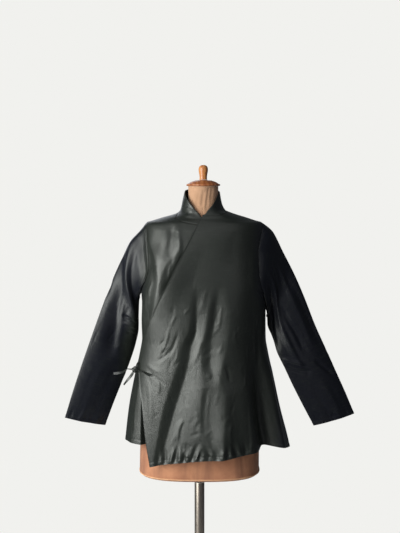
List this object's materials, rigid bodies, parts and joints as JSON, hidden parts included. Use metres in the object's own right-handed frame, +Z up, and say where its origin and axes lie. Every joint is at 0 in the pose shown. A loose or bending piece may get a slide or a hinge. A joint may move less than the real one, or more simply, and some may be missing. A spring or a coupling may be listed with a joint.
{
  "type": "haori wrap jacket on dress form",
  "caption": "Wrap jacket with a stand collar and a side tie, worn on a limbless padded dress form on a pole and round base.",
  "frame": {"origin": "centre of the base's flat underside, on the pole's axis, at floor level", "axes": "+Z up along the pole; the front of the jacket faces -Y; the wearer's right side is towards -X"},
  "size_m": [0.8991, 0.38, 1.544],
  "materials": {
    "taffeta": "dark green-black taffeta with a soft sheen",
    "linen": "aged tan linen stretched over padding",
    "turned_wood": "varnished turned wood",
    "steel": "dull worn steel tube",
    "base_iron": "satin black enamel on cast iron"
  },
  "bodies": {
    "root": {"back": "taffeta", "front_over": "taffeta", "front_under": "taffeta", "sleeve_right": "taffeta", "sleeve_left": "taffeta", "collar": "taffeta", "tie_knot": "taffeta", "tie_over": "taffeta", "tie_front_tail": "taffeta", "tie_side_tail": "taffeta", "tie_low_tail": "taffeta", "form_torso": "linen", "neck_cap": "turned_wood", "finial": "turned_wood", "pole_socket": "steel", "pole": "steel", "base": "base_iron"}
  },
  "joints": []
}
